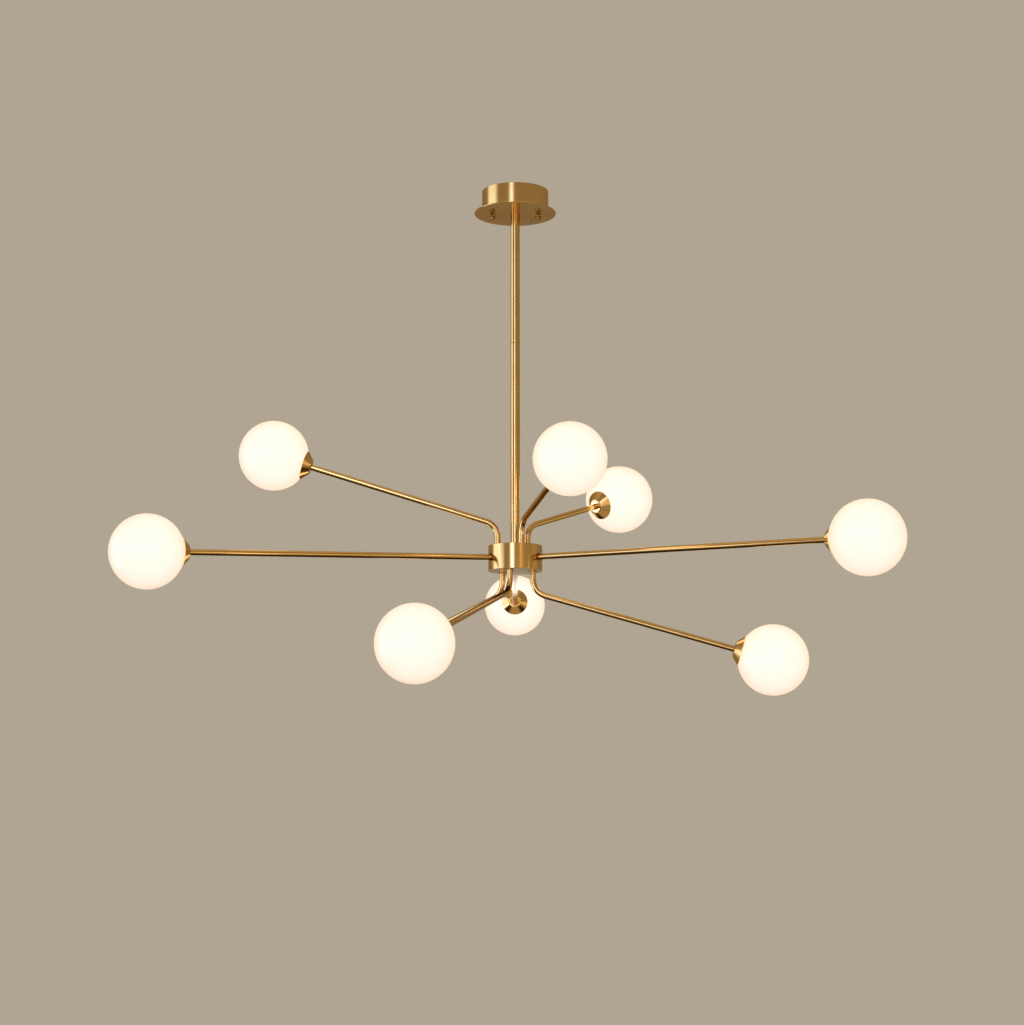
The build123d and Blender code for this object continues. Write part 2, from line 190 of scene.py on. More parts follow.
class Light:
    """One light: its globe's centre, the way its arm points there and where it leaves the hub."""

    def __init__(self, joint):
        self.name = joint["name"].removeprefix("globe_").removesuffix("_turn")
        self.centre = Vector(joint["pos_m"])
        self.along = Vector(joint["axis"]).normalized()
        self.heading = math.atan2(self.along.y, self.along.x)
        self.slope = math.asin(self.along.z)
        self.tier = 0 if abs(self.slope) < LEVEL_SLOPE else int(math.copysign(1, self.slope))
        self.reach = self.centre.xy.length
        self.aim = Matrix.Rotation(self.heading, 4, "Z")
        self.tilt = Matrix.Rotation(math.pi / 2 - self.slope, 4, "Y")

    def place(self):
        """Puts a piece turned about Z, with the globe's centre at its origin, on this light."""
        return Matrix.Translation(self.centre) @ self.aim @ self.tilt

    def port(self, sizes):
        """Puts a piece that stands on Z = 0 where this light's arm leaves the hub."""
        low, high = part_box("hub_body")
        if self.tier == 0:
            middle = (low.z + high.z) / 2
            return self.aim @ Matrix.Translation((high.x, 0, middle)) @ self.tilt
        level = high.z if self.tier > 0 else low.z
        flip = Matrix.Rotation(0 if self.tier > 0 else math.pi, 4, "X")
        return self.aim @ Matrix.Translation((sizes.stub_reach, 0, level)) @ flip


LIGHTS = [
    Light(joint)
    for joint in frame["joints"]
    if joint["name"].startswith("globe_") and joint["type"] == "hinge"
]


# Modelling


def turn(name, outline, sides):
    """A piece turned about Z: a ring, extruded and resized along points of (radius, height)."""
    bpy.ops.object.select_all(action="DESELECT")
    radius, height = outline[0]
    bpy.ops.mesh.primitive_circle_add(vertices=sides, radius=radius, location=(0, 0, height))
    piece = bpy.context.object
    piece.name = piece.data.name = name
    bpy.ops.object.transform_apply(location=True, rotation=True, scale=True)
    bpy.ops.object.mode_set(mode="EDIT")
    bpy.ops.mesh.select_mode(type="VERT")
    bpy.ops.mesh.select_all(action="SELECT")
    for next_radius, next_height in outline[1:]:
        bpy.ops.mesh.extrude_region_move(
            TRANSFORM_OT_translate={"value": (0, 0, next_height - height)}
        )
        grow = next_radius / radius
        bpy.ops.transform.resize(value=(grow, grow, 1), center_override=(0, 0, next_height))
        radius, height = next_radius, next_height
    close(piece)
    return piece


def close(piece):
    """Merge what lies together, face all outwards and leave edit mode."""
    bpy.ops.mesh.select_all(action="SELECT")
    bpy.ops.mesh.remove_doubles(threshold=MERGE)
    bpy.ops.mesh.normals_make_consistent(inside=False)
    bpy.ops.object.mode_set(mode="OBJECT")


def pick(piece, wanted):
    """In edit mode, select just the vertices whose place passes a test."""
    shape = bmesh.from_edit_mesh(piece.data)
    for vertex in shape.verts:
        vertex.select_set(False)
    for vertex in shape.verts:
        if wanted(vertex.co):
            vertex.select_set(True)
    shape.select_flush(True)
    bmesh.update_edit_mesh(piece.data)


def choose(piece):
    """Make a piece the one that operators work on."""
    bpy.ops.object.select_all(action="DESELECT")
    piece.select_set(True)
    bpy.context.view_layer.objects.active = piece


def apply_modifier(piece, kind, **settings):
    """Add a modifier, set it up and apply it."""
    choose(piece)
    modifier = piece.modifiers.new(kind.lower(), kind)
    for name, value in settings.items():
        setattr(modifier, name, value)
    bpy.ops.object.modifier_apply(modifier=modifier.name)


def round_edges(piece, width):
    """Round the edges where a piece's faces meet at a marked angle."""
    apply_modifier(
        piece,
        "BEVEL",
        width=width,
        segments=EDGE_STEPS,
        limit_method="ANGLE",
        angle_limit=SMOOTH_ANGLE,
        use_clamp_overlap=True,
    )


def take_out(piece, tool):
    """Cut a tool's shape out of a piece, and remove the tool."""
    bpy.context.view_layer.update()
    apply_modifier(piece, "BOOLEAN", operation="DIFFERENCE", object=tool, solver="EXACT")
    bpy.data.objects.remove(tool)


def cut(piece, place, outline):
    """Cut a turned shape, put in place, out of a piece."""
    tool = turn("cutter", outline, HOLE_SIDES)
    tool.matrix_world = place
    take_out(piece, tool)


def drill(piece, place, diameter, depth):
    """Cut a round hole, from just above the place's Z = 0 down to a depth."""
    above = 1 * MM
    side = diameter / 2
    cut(piece, place, [(POLE, above), (side, above), (side, -depth), (POLE, -depth)])


def mark_grain(piece, station=None):
    """Keep where each point lies on the unplaced piece, for brush marks that run around it."""
    marks = piece.data.attributes.new(GRAIN, "FLOAT_VECTOR", "POINT")
    for vertex, mark in zip(piece.data.vertices, marks.data):
        mark.vector = station(vertex.co) if station else vertex.co


def settle(piece, node, material, place=None):
    """Smooth a piece, put it in place, give it its finish and let it stand for its node."""
    choose(piece)
    bpy.ops.object.shade_smooth_by_angle(angle=SMOOTH_ANGLE)
    # Wide faces keep their own flat or round shading, and only the narrow roundings blend.
    apply_modifier(piece, "WEIGHTED_NORMAL", mode="FACE_AREA", weight=50, keep_sharp=True)
    if place is not None:
        piece.matrix_world = place
        bpy.ops.object.transform_apply(location=True, rotation=True, scale=True)
    piece.data.materials.clear()
    piece.data.materials.append(material)
    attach(piece, frame["nodes"][node]["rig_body"])
    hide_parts(node)


def twin(piece, name):
    """A copy of a piece, with its own mesh."""
    copy = piece.copy()
    copy.data = piece.data.copy()
    copy.name = copy.data.name = name
    bpy.context.scene.collection.objects.link(copy)
    return copy


def dress(nodes, material):
    """Give CAD nodes that keep their shape a finish."""
    for node in nodes:
        piece = frame["nodes"][node]
        piece.data.materials.clear()
        piece.data.materials.append(material)


# Finishes


def add_node(tree, kind, inputs=None, **settings):
    """Add a node, set it up, and give its inputs values or other nodes' outputs."""
    made = tree.nodes.new("ShaderNode" + kind)
    for name, value in settings.items():
        setattr(made, name, value)
    for key, value in (inputs or {}).items():
        if isinstance(value, bpy.types.NodeSocket):
            tree.links.new(value, made.inputs[key])
        else:
            made.inputs[key].default_value = value
    return made


def start_material(name):
    """An empty material and its tree, or None in place of the tree if it was made before."""
    found = bpy.data.materials.get(name)
    if found:
        return found, None
    material = bpy.data.materials.new(name)
    material.use_nodes = True
    material.node_tree.nodes.clear()
    return material, material.node_tree


def finish_material(tree, inputs):
    """Give a material's shader its inputs, and the material its shader."""
    surface = add_node(tree, "BsdfPrincipled", inputs)
    add_node(tree, "OutputMaterial", {"Surface": surface.outputs[0]})


def satin_brass(colours, making="turned"):
    """Lacquered brass: turned and brushed around its axis, drawn along it, or left bare.

    The eye gets long soft reflections, fine marks the way the tool went, and a clear gloss.
    """
    material, tree = start_material(f"satin_brass_{making}")
    if tree is None:
        return material
    # Brush marks are 0.2 mm apart on the metal and are drawn 0.8 mm apart, so that they show.
    brush_spacing = 0.8 * MM
    # Marks on a drawn tube run on for hundreds of times their width.
    draw_length = 240 * MM
    # The lacquer's warm patches are about as large as a hand's width.
    patch_width = 60 * MM
    where = add_node(tree, "Attribute", attribute_name=GRAIN)
    parts = add_node(tree, "SeparateXYZ", {0: where.outputs["Vector"]})
    if making == "drawn":
        squeeze = brush_spacing / draw_length
        far = add_node(tree, "Math", {0: parts.outputs[2], 1: squeeze}, operation="MULTIPLY")
        grain = add_node(
            tree, "CombineXYZ", {0: parts.outputs[0], 1: parts.outputs[1], 2: far.outputs[0]}
        )
    else:
        flat = add_node(tree, "CombineXYZ", {0: parts.outputs[0], 1: parts.outputs[1]})
        radius = add_node(tree, "VectorMath", {0: flat.outputs[0]}, operation="LENGTH")
        grain = add_node(tree, "CombineXYZ", {0: radius.outputs["Value"], 1: parts.outputs[2]})
    brush = add_node(
        tree,
        "TexNoise",
        {"Vector": grain.outputs[0], "Scale": 1 / brush_spacing, "Detail": 2.0, "Roughness": 0.5},
    )
    spot = add_node(tree, "TexCoord")
    patch = add_node(
        tree,
        "TexNoise",
        {"Vector": spot.outputs["Object"], "Scale": 1 / patch_width, "Detail": 2.0},
    )
    # Warm patches are fewer than plain ones, and go half of the way to the deeper colour.
    warm_from, warmest = 0.35, 0.5
    warm = add_node(
        tree, "MapRange", {0: patch.outputs[0], 1: warm_from, 2: NOISE_HIGH, 3: 0.0, 4: warmest}
    )
    bright, deep = colours.brass, colours.brass_deep
    if making == "bare":
        bright, deep = colours.brass_bare, colours.brass_worn
    tone = add_node(
        tree, "Mix", {0: warm.outputs[0], 6: (*bright, 1), 7: (*deep, 1)}, data_type="RGBA"
    )
    smooth, rough = 0.15, 0.19
    gloss = add_node(
        tree, "MapRange", {0: brush.outputs[0], 1: NOISE_LOW, 2: NOISE_HIGH, 3: smooth, 4: rough}
    )
    marks = add_node(
        tree, "Bump", {"Height": brush.outputs[0], "Strength": 0.05, "Distance": 0.01 * MM}
    )
    finish_material(
        tree,
        {
            "Base Color": tone.outputs[2],
            "Metallic": 1.0,
            "Roughness": gloss.outputs[0],
            "Specular Tint": (*colours.brass_edge, 1),
            "Normal": marks.outputs[0],
            "Coat Weight": 0.0 if making == "bare" else 0.2,
            "Coat Roughness": 0.1,
        },
    )
    return material


def lit_opal(colours):
    """Opal glass, blown in a mould and etched to a satin skin, with a lit lamp inside.

    The eye gets an even milky glow, warmer at the edge, where it looks through more glass.
    """
    material, tree = start_material("opal_glass_blown_etched")
    if tree is None:
        return material
    # The opal layer's thickness drifts over a few centimetres.
    drift_width = 45 * MM
    # Blowing leaves long shallow waves.
    wave_width = 70 * MM
    # The lamp shows a little brighter than white, which the skin then takes back.
    lamp_bright = 1.1
    spot = add_node(tree, "TexCoord")
    drift = add_node(
        tree,
        "TexNoise",
        {"Vector": spot.outputs["Object"], "Scale": 1 / drift_width, "Detail": 3.0},
    )
    wave = add_node(
        tree, "TexNoise", {"Vector": spot.outputs["Object"], "Scale": 1 / wave_width, "Detail": 0.0}
    )
    milk = add_node(
        tree,
        "Mix",
        {0: drift.outputs[0], 6: (*colours.opal, 1), 7: (*colours.opal_dense, 1)},
        data_type="RGBA",
    )
    smooth, rough = 0.36, 0.46
    satin = add_node(
        tree, "MapRange", {0: drift.outputs[0], 1: NOISE_LOW, 2: NOISE_HIGH, 3: smooth, 4: rough}
    )
    skin = add_node(
        tree, "Bump", {"Height": wave.outputs[0], "Strength": 0.1, "Distance": 0.3 * MM}
    )
    finish_material(
        tree,
        {
            "Base Color": milk.outputs[2],
            "Roughness": satin.outputs[0],
            "Normal": skin.outputs[0],
            "Specular IOR Level": 0.25,
            "Emission Color": (*colours.glow, 1),
            "Emission Strength": lamp_bright,
            "Coat Weight": 1.0,
            "Coat Roughness": 0.3,
            "Coat IOR": 1.1,
            "Coat Tint": (*colours.skin_tint, 1),
        },
    )
    return material


def zinc_steel(colours):
    """Pressed and turned steel, zinc plated: cool grey, dull in patches, with a fine grit."""
    material, tree = start_material("steel_zinc_plated")
    if tree is None:
        return material
    grit = 0.6 * MM
    patch_width = 12 * MM
    spot = add_node(tree, "TexCoord")
    patch = add_node(
        tree,
        "TexNoise",
        {"Vector": spot.outputs["Object"], "Scale": 1 / patch_width, "Detail": 4.0},
    )
    fine = add_node(
        tree, "TexNoise", {"Vector": spot.outputs["Object"], "Scale": 1 / grit, "Detail": 2.0}
    )
    tone = add_node(
        tree,
        "Mix",
        {0: patch.outputs[0], 6: (*colours.zinc, 1), 7: (*colours.zinc_dull, 1)},
        data_type="RGBA",
    )
    smooth, rough = 0.28, 0.45
    gloss = add_node(
        tree, "MapRange", {0: patch.outputs[0], 1: NOISE_LOW, 2: NOISE_HIGH, 3: smooth, 4: rough}
    )
    skin = add_node(
        tree, "Bump", {"Height": fine.outputs[0], "Strength": 0.15, "Distance": 0.03 * MM}
    )
    finish_material(
        tree,
        {
            "Base Color": tone.outputs[2],
            "Metallic": 1.0,
            "Roughness": gloss.outputs[0],
            "Normal": skin.outputs[0],
        },
    )
    return material


def plain_skin(name, tone, speck, rough, glow=0.0, shine=0.5):
    """Ceramic, silicone, a frosted bulb, paint or felt: one body colour with a faint speckle."""
    material, tree = start_material(name)
    if tree is None:
        return material
    spot = add_node(tree, "TexCoord")
    grain = add_node(
        tree, "TexNoise", {"Vector": spot.outputs["Object"], "Scale": 1 / speck, "Detail": 3.0}
    )
    speck_bright = 0.86  # beside the body colour
    smoother, rougher = 0.85 * rough, 1.15 * rough
    shade = [speck_bright * part for part in tone]
    body = add_node(
        tree, "Mix", {0: grain.outputs[0], 6: (*tone, 1), 7: (*shade, 1)}, data_type="RGBA"
    )
    gloss = add_node(
        tree,
        "MapRange",
        {0: grain.outputs[0], 1: NOISE_LOW, 2: NOISE_HIGH, 3: smoother, 4: rougher},
    )
    finish_material(
        tree,
        {
            "Base Color": body.outputs[2],
            "Roughness": gloss.outputs[0],
            "Specular IOR Level": shine,
            "Emission Color": (*tone, 1),
            "Emission Strength": glow,
        },
    )
    return material


# Pieces


class ChandelierOperator(bpy.types.Operator):
    """Shared ways to reach the sizes and colours."""

    @property
    def sizes(self):
        return bpy.context.scene.chandelier_sizes

    @property
    def colours(self):
        return bpy.context.scene.chandelier_colours


class CHANDELIER_OT_canopy(ChandelierOperator):
    """Spin the canopy's drum and turn its plate."""

    bl_idname = "chandelier.canopy"
    bl_label = "Canopy"
    earth_heading = math.radians(52)

    def execute(self, context):
        s = self.sizes
        brass = satin_brass(self.colours)
        low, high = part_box("canopy_drum")
        outer = high.x
        inner = outer - s.drum_wall
        ring = [(outer, low.z), (outer, high.z), (inner, high.z), (inner, low.z), (outer, low.z)]
        drum = turn("canopy_drum_spun", ring, WIDE_SIDES)
        round_edges(drum, s.edge)
        mark_grain(drum)
        settle(drum, "canopy_drum", brass)

        low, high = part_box("canopy_plate")
        bore = s.rod_bore / 2
        disc = [(bore, low.z), (high.x, low.z), (high.x, high.z), (bore, high.z), (bore, low.z)]
        plate = turn("canopy_plate_turned", disc, WIDE_SIDES)
        round_edges(plate, s.plate_edge)
        through = 3 * (high.z - low.z)
        for side in (-1, 1):
            stud = Matrix.Translation((side * s.stud_spacing / 2, 0, high.z))
            drill(plate, stud, s.stud_hole, through)
        out = Matrix.Translation((s.earth_reach, 0, high.z))
        earth = Matrix.Rotation(self.earth_heading, 4, "Z") @ out
        drill(plate, earth, s.earth_hole, through)
        mark_grain(plate)
        settle(plate, "canopy_plate", brass)
        return {"FINISHED"}


class CHANDELIER_OT_thumb_nuts(ChandelierOperator):
    """Turn a thumb nut, knurl its head and put one on each stud."""

    bl_idname = "chandelier.thumb_nuts"
    bl_label = "Thumb nuts"
    grooves = 36
    waist = 0.3 * MM  # depth of the neck between the knurled head and the knob
    dome_steps = range(0, 91, 15)  # degrees round the lower edge

    def execute(self, context):
        s = self.sizes
        brass = satin_brass(self.colours, "bare")
        low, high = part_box("thumb_nut_left")
        tall = high.z - low.z
        head = (high.x - low.x) / 2
        knob = s.nut_knob / 2
        bore = s.nut_bore / 2
        chamfer = s.knurl_depth
        waist = self.waist
        floor = s.nut_floor - tall
        dome = [
            (knob - s.nut_dome * (1 - math.cos(a)), s.nut_dome * (1 - math.sin(a)) - tall)
            for a in [math.radians(step) for step in self.dome_steps]
        ]
        outline = [
            (POLE, floor),
            (bore, floor),
            (bore, 0),
            (head - chamfer, 0),
            (head, -chamfer),
            (head, chamfer - s.nut_head),
            (head - chamfer, -s.nut_head),
            (knob - waist, -s.nut_head),
            (knob - waist, -s.nut_head - waist),
            (knob, -s.nut_head - 2 * waist),
            *dome,
            (POLE, -tall),
        ]
        nut = turn("thumb_nut_left_knurled", outline, 2 * self.grooves)
        bpy.ops.object.mode_set(mode="EDIT")
        step = math.pi / self.grooves

        def groove(spot):
            """Whether a place lies at the bottom of a groove: every other corner round the head."""
            on_head = abs(spot.xy.length - head) < MERGE
            return on_head and round(math.atan2(spot.y, spot.x) / step) % 2 == 1

        pick(nut, groove)
        sink = 1 - s.knurl_depth / head
        bpy.ops.transform.resize(value=(sink, sink, 1), center_override=(0, 0, 0))
        close(nut)
        mark_grain(nut)
        other = twin(nut, "thumb_nut_right_knurled")
        for piece, node in ((nut, "thumb_nut_left"), (other, "thumb_nut_right")):
            low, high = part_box(node)
            place = Matrix.Translation(((low.x + high.x) / 2, (low.y + high.y) / 2, high.z))
            settle(piece, node, brass, place)
        return {"FINISHED"}


class CHANDELIER_OT_stem(ChandelierOperator):
    """Turn the stem's two rods, with a fine seam between them."""

    bl_idname = "chandelier.stem"
    bl_label = "Stem"

    def execute(self, context):
        s = self.sizes
        brass = satin_brass(self.colours, "drawn")
        rod = s.rod_diameter / 2
        bore = s.rod_bore / 2
        low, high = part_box("downrod_upper")
        upper = [
            (bore, low.z),
            (rod - s.seam, low.z),
            (rod, low.z + s.seam),
            (rod, high.z),
            (bore, high.z),
            (bore, low.z),
        ]
        low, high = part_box("downrod_lower")
        lower = [
            (bore, low.z),
            (rod, low.z),
            (rod, high.z - s.seam),
            (rod - s.seam, high.z),
            (bore, high.z),
            (bore, low.z),
        ]
        for node, outline in (("downrod_upper", upper), ("downrod_lower", lower)):
            piece = turn(f"{node}_turned", outline, ROD_SIDES)
            round_edges(piece, s.edge / 4)
            mark_grain(piece)
            settle(piece, node, brass)
        return {"FINISHED"}


class CHANDELIER_OT_hub(ChandelierOperator):
    """Turn the hub and its cover, and cut a recess and a hole for each arm."""

    bl_idname = "chandelier.hub"
    bl_label = "Hub"
    slot_depth = 1 * MM

    def arm_seat(self, piece, light):
        """Cut the recess and the hole that a light's arm stands in."""
        s = self.sizes
        above = 4 * MM
        recess = s.recess_diameter / 2
        hole = s.arm_hole / 2
        through = 2 * s.hub_wall
        cut(
            piece,
            light.port(s),
            [
                (POLE, above),
                (recess, above),
                (recess, -s.recess_depth),
                (hole, -s.recess_depth),
                (hole, -through),
                (POLE, -through),
            ],
        )

    def execute(self, context):
        s = self.sizes
        brass = satin_brass(self.colours)
        low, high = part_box("hub_body")
        bore = s.rod_bore / 2
        inner = high.x - s.hub_wall
        roof = high.z - s.hub_wall
        outline = [
            (bore, high.z),
            (high.x, high.z),
            (high.x, low.z),
            (inner, low.z),
            (inner, roof),
            (bore, roof),
            (bore, high.z),
        ]
        body = turn("hub_body_turned", outline, WIDE_SIDES)
        round_edges(body, s.edge)
        for light in LIGHTS:
            if light.tier >= 0:
                self.arm_seat(body, light)
        mark_grain(body)
        settle(body, "hub_body", brass)

        low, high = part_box("hub_cover")
        head = s.screw_head / 2
        outline = [
            (head / 2, high.z),
            (high.x, high.z),
            (high.x, low.z),
            (head, low.z),
            (head / 2, low.z + head / 2),
            (head / 2, high.z),
        ]
        cover = turn("hub_cover_turned", outline, WIDE_SIDES)
        round_edges(cover, s.edge / 2)
        for light in LIGHTS:
            if light.tier < 0:
                self.arm_seat(cover, light)
        mark_grain(cover)
        settle(cover, "hub_cover", brass)

        low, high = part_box("hub_cover_screw")
        shank = head / 2
        outline = [
            (POLE, low.z),
            (head, low.z),
            (shank, low.z + head - shank),
            (shank, high.z),
            (POLE, high.z),
        ]
        screw = turn("hub_cover_screw_slotted", outline, SCREW_SIDES)
        # The slot runs right across the head. Half of its cutter is in the screw, half below it.
        bpy.ops.object.select_all(action="DESELECT")
        bpy.ops.mesh.primitive_cube_add(size=1, location=(0, 0, low.z))
        slot = bpy.context.object
        slot.scale = (3 * head, s.screw_slot, 2 * self.slot_depth)
        take_out(screw, slot)
        mark_grain(screw)
        settle(screw, "hub_cover_screw", brass)
        return {"FINISHED"}


class CHANDELIER_OT_arms(ChandelierOperator):
    """Draw the tube arms: straight out of the hub's side, bent out of its top and underside."""

    bl_idname = "chandelier.arms"
    bl_label = "Arms"
    bend_steps = 20

    def straight(self, light):
        """A straight arm, and where it goes."""
        s = self.sizes
        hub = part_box("hub_body")[1].x
        foot = (light.reach - hub) / math.cos(light.slope) + s.arm_inside
        tube = s.arm_diameter / 2
        outline = [(POLE, -foot), (tube, -foot), (tube, -s.arm_end), (POLE, -s.arm_end)]
        arm = turn(f"arm_{light.name}_drawn", outline, TUBE_SIDES)
        mark_grain(arm)
        return arm, light.place()

    def bent(self, light):
        """An arm with a stub on the hub, a bend and a straight length, and where it goes."""
        s = self.sizes
        low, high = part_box("hub_body")
        up = light.tier
        face = high.z if up > 0 else low.z
        foot = face - up * s.arm_inside
        corner = face + up * s.stub_rise
        sweep = math.pi / 2 - abs(light.slope)
        run_in = s.bend_radius * math.tan(sweep / 2)
        start = corner - up * run_in
        pivot = Vector((s.stub_reach + s.bend_radius, 0, start))
        straight = (light.reach - s.stub_reach) / math.cos(light.slope) - run_in - s.arm_end
        ahead = Vector((math.cos(light.slope), 0, math.sin(light.slope)))

        bpy.ops.object.select_all(action="DESELECT")
        bpy.ops.mesh.primitive_circle_add(
            vertices=TUBE_SIDES,
            radius=s.arm_diameter / 2,
            fill_type="NGON",
            location=(s.stub_reach, 0, foot),
        )
        arm = bpy.context.object
        arm.name = arm.data.name = f"arm_{light.name}_bent"
        bpy.ops.object.transform_apply(location=True, rotation=True, scale=True)
        bpy.ops.object.mode_set(mode="EDIT")
        bpy.ops.mesh.select_all(action="SELECT")
        bpy.ops.mesh.extrude_region_move(TRANSFORM_OT_translate={"value": (0, 0, start - foot)})
        bpy.ops.mesh.spin(
            steps=self.bend_steps, angle=sweep, center=pivot, axis=(0, -up, 0), dupli=False
        )
        bpy.ops.mesh.extrude_region_move(TRANSFORM_OT_translate={"value": straight * ahead})
        close(arm)

        def station(spot):
            """The point's place around the tube and along it."""
            from_pivot = spot - pivot
            if up * (spot.z - start) <= 0:
                return Vector((spot.x - s.stub_reach, spot.y, up * (spot.z - foot)))
            swept = math.atan2(up * from_pivot.z, -from_pivot.x)
            beyond = 0.0
            if swept > sweep:
                spoke = Vector((-math.cos(sweep), 0, up * math.sin(sweep)))
                beyond = (from_pivot - s.bend_radius * spoke).dot(ahead)
                swept = sweep
            along = abs(start - foot) + s.bend_radius * swept + beyond
            return Vector((s.arm_diameter / 2, spot.y, along))

        mark_grain(arm, station)
        return arm, light.aim

    def execute(self, context):
        brass = satin_brass(self.colours, "drawn")
        for light in LIGHTS:
            arm, place = self.bent(light) if light.tier else self.straight(light)
            settle(arm, f"arm_{light.name}", brass, place)
        return {"FINISHED"}


class CHANDELIER_OT_cups(ChandelierOperator):
    """Spin one cup and put a copy behind each globe."""

    bl_idname = "chandelier.cups"
    bl_label = "Cups"
    shoulder_steps = 8
    lip_step = 0.4 * MM

    def execute(self, context):
        s = self.sizes
        brass = satin_brass(self.colours)
        seat = s.globe_diameter / 2 + s.glass_gap
        rim = s.cup_rim / 2
        tip = s.cup_tip / 2
        hole = s.arm_hole / 2
        rim_level = math.sqrt(seat**2 - rim**2)
        cone_start = rim_level + s.cup_land
        spread = (rim - tip) / (s.cup_back - cone_start)
        shift = s.cup_wall * math.sqrt(1 + spread**2) / spread
        floor = s.cup_back - s.cup_floor

        def inside(level):
            """The inner cone's radius at a distance from the globe's centre."""
            return rim - spread * (level + shift - cone_start)

        # A wide soft shoulder leads from the flat end into the cone.
        lean = math.atan2(s.cup_back - cone_start, rim - tip)
        start = tip - s.cup_shoulder * math.tan(lean / 2)
        bends = [lean * step / self.shoulder_steps for step in range(self.shoulder_steps + 1)]
        shoulder = [
            (
                start + s.cup_shoulder * math.sin(bend),
                -s.cup_back + s.cup_shoulder * (1 - math.cos(bend)),
            )
            for bend in bends
        ]

        # The lip follows the glass inwards until it meets the inner cone.
        lip = [rim]
        while lip[-1] > inside(math.sqrt(seat**2 - lip[-1] ** 2)):
            lip.append(lip[-1] - self.lip_step)
        outline = [
            (hole, -s.cup_back),
            *shoulder,
            (rim, -cone_start),
            *[(r, -math.sqrt(seat**2 - r**2)) for r in lip],
            (inside(floor), -floor),
            (hole, -floor),
            (hole, -s.cup_back),
        ]
        first = turn("cup_spun", outline, CUP_SIDES)
        round_edges(first, s.edge)
        mark_grain(first)
        for light in LIGHTS:
            cup = twin(first, f"cup_{light.name}_spun")
            settle(cup, f"cup_{light.name}", brass, light.place())
        bpy.data.objects.remove(first)
        return {"FINISHED"}


class CHANDELIER_OT_globes(ChandelierOperator):
    """Blow one globe, open its neck and put a copy on each light."""

    bl_idname = "chandelier.globes"
    bl_label = "Globes"
    segments = 96
    rings = 64

    def execute(self, context):
        s = self.sizes
        opal = lit_opal(self.colours)
        globe = s.globe_diameter / 2
        neck = s.neck_diameter / 2
        neck_level = -math.sqrt(globe**2 - neck**2)
        bpy.ops.object.select_all(action="DESELECT")
        bpy.ops.mesh.primitive_uv_sphere_add(
            segments=self.segments, ring_count=self.rings, radius=globe
        )
        first = bpy.context.object
        first.name = first.data.name = "globe_blown"
        bpy.ops.object.mode_set(mode="EDIT")
        bpy.ops.mesh.select_mode(type="VERT")
        bpy.ops.mesh.select_all(action="SELECT")
        bpy.ops.mesh.bisect(
            plane_co=(0, 0, neck_level), plane_no=(0, 0, 1), clear_inner=True, clear_outer=False
        )
        pick(first, lambda spot: spot.z < neck_level + MERGE)
        bpy.ops.mesh.extrude_region_move(
            TRANSFORM_OT_translate={"value": (0, 0, -s.neck_end - neck_level)}
        )
        close(first)
        apply_modifier(
            first, "SOLIDIFY", thickness=s.glass_wall, offset=-1.0, use_even_offset=True
        )
        bpy.ops.object.mode_set(mode="EDIT")
        bore = neck - s.glass_wall
        pick(first, lambda spot: spot.z < neck_level and spot.xy.length < neck - MM)
        open_up = s.neck_bore / 2 / bore
        bpy.ops.transform.resize(value=(open_up, open_up, 1), center_override=(0, 0, 0))
        close(first)
        for light in LIGHTS:
            copy = twin(first, f"globe_{light.name}_blown")
            settle(copy, f"globe_{light.name}", opal, light.place())
        bpy.data.objects.remove(first)
        return {"FINISHED"}


class CHANDELIER_OT_fittings(ChandelierOperator):
    """Finish the lampholders, bulbs and gaskets, and the steel inside canopy and hub."""

    bl_idname = "chandelier.fittings"
    bl_label = "Fittings"

    def execute(self, context):
        c = self.colours
        steel = zinc_steel(c)
        dress(["ceiling_bracket", "canopy_studs", "stem_nipples", "hub_spacer", "locknuts"], steel)
        ceramic = plain_skin("ceramic_glazed", c.ceramic, speck=1.5 * MM, rough=0.2)
        silicone = plain_skin("silicone_moulded", c.silicone, speck=0.8 * MM, rough=0.6)
        bulb = plain_skin("bulb_frosted_lit", c.bulb, speck=1.0 * MM, rough=0.5, glow=1.0)
        dress(["lampholders"], ceramic)
        dress([f"gasket_{light.name}" for light in LIGHTS], silicone)
        dress([f"bulb_{light.name}" for light in LIGHTS], bulb)
        return {"FINISHED"}


